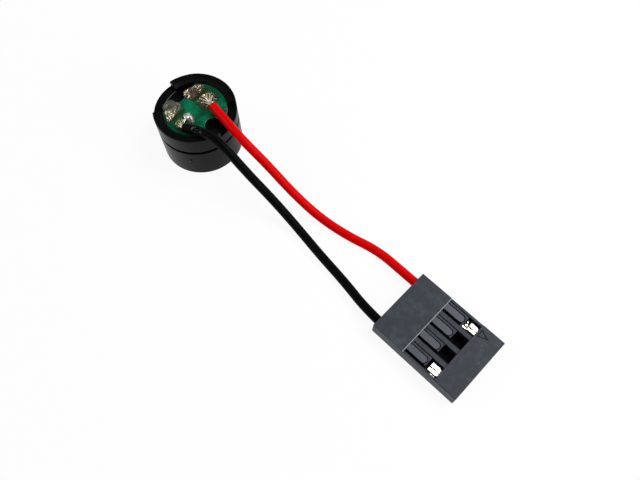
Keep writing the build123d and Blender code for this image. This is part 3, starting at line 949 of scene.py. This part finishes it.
@dataclass
class Strands:
    """Bared strands that leave a sleeve and fan out into a joint."""

    name: str
    start: Point
    towards: Point
    ends: list[Point]
    radius: float = 0.09
    spread: float = 0.18
    inside: float = 0.4
    reach: float = 0.9
    rows: int = 16
    sides: int = 10

    def build(self) -> bpy.types.Object:
        """One tube along each quadratic curve (1-t)^2 a + 2t(1-t) b + t^2 c."""
        start = np.array(self.start)
        along = np.array(self.towards) - start
        along /= np.linalg.norm(along)
        across = np.cross(along, (0.0, 0.0, 1.0))
        across /= np.linalg.norm(across)
        over = np.cross(across, along)
        t = np.linspace(0, 1, self.rows)[:, None]
        parts = []
        for index, end in enumerate(self.ends):
            turn = 2 * np.pi * index / len(self.ends)
            offset = self.spread * (np.cos(turn) * across + np.sin(turn) * over)
            first = start + along * self.inside + offset
            bend = start - along * self.reach + offset * 1.4
            path = (1 - t) ** 2 * first + 2 * t * (1 - t) * bend + t ** 2 * np.array(end)
            parts.append(closed_grid(tube_rings(path, self.radius, self.sides)))
        return mesh_piece(self.name, *merged(parts), Finish.STRANDS, "tinned_copper")


@dataclass
class RimEdgeHighlight:
    """Painted highlight: a thin pale line along the pocket's edge in the far notch of the rim."""

    radius: float = 4.66
    level: float = 7.4
    first_angle: float = 176.5
    last_angle: float = 233.5
    half_width: float = 0.035
    count: int = 80

    def build(self) -> bpy.types.Object:
        """Tube round the arc r (cos a, sin a), thinner towards both ends."""
        angle = np.radians(np.linspace(self.first_angle, self.last_angle, self.count))
        path = np.stack([self.radius * np.cos(angle), self.radius * np.sin(angle),
                         np.full_like(angle, self.level)], axis=-1)
        share = np.linspace(0, np.pi, self.count)
        width = self.half_width * (0.35 + 0.65 * np.sin(share) ** 0.5)
        rings = tube_rings(path, width, 10)
        return mesh_piece("rim_edge_highlight", *closed_grid(rings), Finish.FLASH, "case_plastic")


@dataclass
class BoardWork:
    """Solder, bared strands and flux on the board."""

    coil_joint_red: Lump = field(default_factory=lambda: Lump(
        "solder_a", [(-3.42, 0.75), (-2.5, 0.35), (-1.55, 0.95), (-1.65, 2.5), (-2.2, 3.75),
                     (-2.95, 3.3), (-3.4, 2.2)],
        0.36, Finish.BROWN_JOINT, "solder", [(-2.15, 3.0, 0.45, 0.34), (-1.85, 2.0, 0.35, 0.25),
                                            (-2.95, 1.6, 0.4, 0.2), (-2.6, 2.4, 0.3, -0.2)],
        "solder_coil_red_side", seed=11))
    coil_joint_black: Lump = field(default_factory=lambda: Lump(
        "solder_c", [(-3.5, -2.7), (-2.5, -3.6), (-1.1, -4.3), (-0.95, -3.6), (-1.35, -2.3),
                     (-1.8, -1.2), (-2.6, -0.95), (-3.5, -1.7)],
        0.34, Finish.GREY_JOINT, "solder", [(-1.7, -2.4, 0.5, 0.35), (-1.35, -3.5, 0.35, 0.3),
                                           (-2.7, -2.6, 0.4, 0.15)],
        "solder_coil_black_side", seed=23))
    red_joint: Lump = field(default_factory=lambda: Lump(
        "solder_b", [(-1.0, 1.3), (-0.3, 0.9), (0.9, 1.2), (1.15, 2.2), (0.85, 3.4), (0.0, 3.75),
                     (-0.75, 3.4), (-1.1, 2.5)],
        0.3, Finish.GOLD_JOINT, "solder", [(0.45, 3.2, 0.4, 0.32), (-0.6, 1.6, 0.35, 0.25),
                                          (-0.55, 2.7, 0.3, -0.2)],
        "solder_red_lead", seed=31))
    black_joint_inner: Lump = field(default_factory=lambda: Lump(
        "solder_d_inner", [(-0.35, -1.9), (0.4, -2.35), (1.45, -2.1), (1.6, -1.5), (0.95, -1.0),
                           (0.0, -1.0)],
        0.5, Finish.PALE_JOINT, "solder", [(0.9, -1.6, 0.4, 0.22)],
        "solder_black_lead", ripple=0.04, seed=41))
    black_joint_outer: Lump = field(default_factory=lambda: Lump(
        "solder_d_outer", [(-0.35, -3.2), (0.2, -3.95), (1.0, -3.9), (1.3, -3.2), (0.7, -2.35),
                           (-0.3, -2.4)],
        0.42, Finish.GREEN_JOINT, "solder", [(0.3, -3.0, 0.4, 0.2)], ripple=0.1,
        ripple_length=0.8, seed=53))

    def flux(self) -> list[Lump]:
        """Pools and blobs of flux, clear grey or amber, and a clear grey blob on the rim's inner wall
        that paints the glint seen there.
        """
        return [
            Lump("flux_c", [(-3.75, -2.8), (-3.1, -3.3), (-2.5, -2.6), (-2.3, -1.6), (-2.9, -1.2),
                            (-3.7, -1.6)],
                 0.62, Finish.GREY_FLUX, "solder", ripple=0.05, seed=61),
            Lump("flux_b", [(-1.25, 1.1), (-0.3, 0.65), (1.3, 0.9), (1.45, 2.4), (1.0, 3.7),
                            (-0.2, 4.0), (-1.05, 3.6), (-1.4, 2.4)],
                 0.07, Finish.AMBER_FLUX, "solder", ripple=0.02, edge_power=8.0, seed=67),
            # painted highlight: a clear grey blob against the rim's inner wall stands in for a glint
            # there
            Lump("wall_glint_blob", [(3.05, 2.5), (3.6, 2.2), (3.95, 2.6), (3.6, 3.1), (3.1, 3.5), (2.9, 3.1)],
                 0.22, Finish.GREY_FLUX, "solder", level=7.75, ripple=0.06, seed=71),
        ]

    def build(self) -> list[bpy.types.Object]:
        """Make every piece on the board."""
        lumps = [self.coil_joint_red, self.coil_joint_black, self.red_joint,
                 self.black_joint_inner, self.black_joint_outer, *self.flux()]
        pieces = [lump.build() for lump in lumps]
        red_ends = [(-0.75, 2.9, 8.12), (-0.35, 3.35, 8.12), (0.25, 3.3, 8.2), (-0.9, 2.1, 8.1),
                    (-0.7, 1.5, 8.2), (0.0, 1.3, 8.12), (-0.6, 2.5, 8.15)]
        black_ends = [(-0.1, -2.7, 8.15), (0.2, -2.6, 8.2), (0.5, -2.3, 8.25), (0.0, -3.3, 8.15),
                      (0.6, -2.0, 8.25), (0.3, -3.6, 8.15), (0.1, -3.0, 8.25)]
        pieces.append(Strands("red_strands", RED_ROUTE[0], RED_ROUTE[1], red_ends).build())
        pieces.append(Strands("black_strands", BLACK_ROUTE[0], BLACK_ROUTE[1], black_ends).build())
        return pieces


@dataclass
class TerminalLances:
    """Small bright lances of the two terminals, beside the box in the window."""

    level: float = 1.82
    height: float = 0.18

    def build(self) -> list[bpy.types.Object]:
        """Make each lance as a low rounded mound of sheet."""
        outlines = {
            "red_lance_side": [(47.5, 3.72), (48.4, 3.7), (48.45, 3.92), (47.6, 3.98)],
            "red_lance_back": [(47.84, 4.13), (48.24, 4.08), (48.28, 4.44), (47.9, 4.48)],
            "red_lance_tip": [(47.84, 4.66), (48.08, 4.62), (48.1, 4.82), (47.88, 4.86)],
            "black_lance_side": [(48.7, -4.17), (49.45, -4.17), (49.5, -3.98), (48.75, -3.95)],
        }
        return [Lump(name, outline, self.height, Finish.BRIGHT_TIN, "tinned_copper",
                     level=self.level, ripple=0.02, ripple_length=0.6, edge_power=8.0,
                     columns=48, rows=14, seed=83 + index).build()
                for index, (name, outline) in enumerate(outlines.items())]


@dataclass
class CaseMarks:
    """What is on the case: the painted highlight along the pocket's edge and the mark of the gate."""

    gate_outline: list[tuple[float, float]] = field(default_factory=lambda: [
        (-0.16, -0.6), (0.1, -0.65), (0.2, -0.1), (0.08, 0.25), (0.18, 0.6), (-0.06, 0.7),
        (-0.2, 0.2)])

    def build(self) -> list[bpy.types.Object]:
        """Make the highlight line and the gate mark."""
        gate = WallLump("gate_mark", self.gate_outline, 0.04, Finish.CASE, "case_plastic",
                        [(0.0, 0.35, 0.15, 0.09), (0.02, -0.4, 0.15, 0.09)], level=3.1,
                        sink=0.05, ripple=0.02, ripple_length=0.5, columns=48, rows=20,
                        angle=-54.5)
        return [RimEdgeHighlight().build(), gate.build()]


@dataclass
class Dressing:
    """Finishes of the CAD nodes that show as they are."""

    nodes: dict[str, Finish] = field(default_factory=lambda: {
        "front_case": Finish.CASE,
        "rear_case": Finish.CASE,
        "diaphragm": Finish.STEEL,
        "diaphragm_weight": Finish.STEEL,
        "spacer_ring": Finish.CASE,
        "ring_magnet": Finish.FERRITE,
        "yoke_plate": Finish.STEEL,
        "pole_core": Finish.STEEL,
        "coil": Finish.WINDING,
        "circuit_board": Finish.BOARD,
        "red_copper_land": Finish.BOARD,
        "black_copper_land": Finish.BOARD,
        "connector_housing": Finish.HOUSING,
        "red_terminal": Finish.RED_TIN,
        "black_terminal": Finish.BLACK_TIN,
    })

    def apply(self) -> None:
        """Give each node its material."""
        for name, finish in self.nodes.items():
            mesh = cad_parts[name].data
            mesh.materials.clear()
            mesh.materials.append(finish.material())


# ------------------------------------------------------------------- the stage


@dataclass
class Studio:
    """White floor, soft lamps and the camera."""

    camera_place: Point = (51.37, -26.95, 83.73)
    camera_heading: float = 134.24
    camera_pitch: float = 65.6
    lens: float = 35.9
    middle: Point = (24.0, 0.0, 0.0)
    flat_radius: float = 900.0
    bowl: float = 900.0
    bowl_rows: int = 24
    bowl_sides: int = 96
    floor_white: float = 1.0
    floor_glow: float = 0.92
    sky: float = 0.16
    lamps: dict[str, tuple[Point, float, float]] = field(default_factory=lambda: {
        "lamp_above": ((110.0, 170.0, 300.0), 200.0, 0.75),
        "lamp_right": ((255.0, 80.0, 150.0), 120.0, 0.28),
        "lamp_left": ((-200.0, -140.0, 200.0), 160.0, 0.25),
    })

    def floor(self) -> None:
        """White floor that shows white to the camera and keeps the object's shadow.

        It is a surface of revolution: flat to the bowl's edge, then a quarter circle up to
        the rim, r = e + b sin t and z = b (1 - cos t).
        """
        turn = np.linspace(0, np.pi / 2, self.bowl_rows)
        reach = np.concatenate([[self.flat_radius], self.flat_radius + self.bowl * np.sin(turn[1:])])
        climb = np.concatenate([[0.0], self.bowl * (1 - np.cos(turn[1:]))])
        angle = np.linspace(0, 2 * np.pi, self.bowl_sides, endpoint=False)
        rings = np.stack([reach[:, None] * np.cos(angle), reach[:, None] * np.sin(angle),
                          np.broadcast_to(climb[:, None], (len(reach), len(angle)))], axis=-1)
        points = np.concatenate([rings.reshape(-1, 3), [[0.0, 0.0, 0.0]]])
        quads = [face[::-1] for face in grid_faces(len(reach), len(angle))]
        centre = len(points) - 1
        quads += [[centre, k, (k + 1) % len(angle)] for k in range(len(angle))]
        mesh = bpy.data.meshes.new("floor")
        mesh.from_pydata((points * MM).tolist(), [], quads)
        mesh.shade_smooth()
        graph = Graph("floor_white")
        graph.set(Base_Color=(self.floor_white,) * 3, Roughness=0.9)
        path = graph.node("ShaderNodeLightPath", {})
        seen = Value(graph, path.outputs["Is Camera Ray"])
        seen = (seen + Value(graph, path.outputs["Is Glossy Ray"])).least(1.0)
        glow = graph.node("ShaderNodeEmission", {}, (*WHITE, 1.0), 1.0)
        blend = graph.node("ShaderNodeMixShader", {}, seen * self.floor_glow, graph.shader.outputs[0],
                           glow.outputs[0])
        graph.tree.links.new(blend.outputs[0], graph.output.inputs["Surface"])
        mesh.materials.append(graph.material)
        piece = bpy.data.objects.new("floor", mesh)
        bpy.context.scene.collection.objects.link(piece)

    def lamp(self, name: str, place: Point, size: float, power: float) -> None:
        """Square soft lamp that faces the object's middle.

        Args:
            name: the lamp's name.
            place: its centre, in millimetres.
            size: its side, in millimetres.
            power: its power in watts.
        """
        light = bpy.data.lights.new(name, "AREA")
        light.size = size * MM
        light.energy = power
        lamp = bpy.data.objects.new(name, light)
        lamp.location = tuple(x * MM for x in place)
        away = np.array(place) - np.array(self.middle)
        lamp.rotation_euler = (math.acos(away[2] / np.linalg.norm(away)), 0.0,
                               math.atan2(away[1], away[0]) + math.pi / 2)
        bpy.context.scene.collection.objects.link(lamp)

    def camera(self) -> None:
        """Camera that looks down on the board, with the leads towards the lower right."""
        data = bpy.data.cameras.new("camera")
        data.lens = self.lens
        data.clip_start = 0.001
        data.clip_end = 10.0
        camera = bpy.data.objects.new("camera", data)
        camera.location = tuple(x * MM for x in self.camera_place)
        camera.rotation_euler = (math.radians(90 - self.camera_pitch), 0.0,
                                 math.radians(self.camera_heading - 90))
        bpy.context.scene.collection.objects.link(camera)
        bpy.context.scene.camera = camera

    def build(self) -> None:
        """Set up the whole stage."""
        scene = bpy.context.scene
        scene.view_settings.view_transform = "Standard"
        world = bpy.data.worlds.new("studio")
        scene.world = world
        world.use_nodes = True
        back = world.node_tree.nodes["Background"]
        back.inputs["Color"].default_value = (*WHITE, 1.0)
        back.inputs["Strength"].default_value = self.sky
        self.floor()
        for name, (place, size, power) in self.lamps.items():
            self.lamp(name, place, size, power)
        self.camera()


def main() -> None:
    """Build every piece in order."""
    logging.basicConfig(level=logging.INFO, format="%(message)s")
    Dressing().apply()
    LOG.info("CAD nodes dressed")
    leads = (
        Lead("red", RED_ROUTE, 43.1, Finish.RED, ["connector_housing", "red_terminal"]),
        Lead("black", BLACK_ROUTE, 43.1, Finish.BLACK, ["black_terminal"]),
    )
    for lead in leads:
        lead.sleeve()
        LOG.info("%s lead made", lead.colour)
    for piece in BoardWork().build() + CaseMarks().build() + TerminalLances().build():
        LOG.info("%s made, %d faces", piece.name, len(piece.data.polygons))
    Studio().build()


if __name__ == "__main__":
    main()
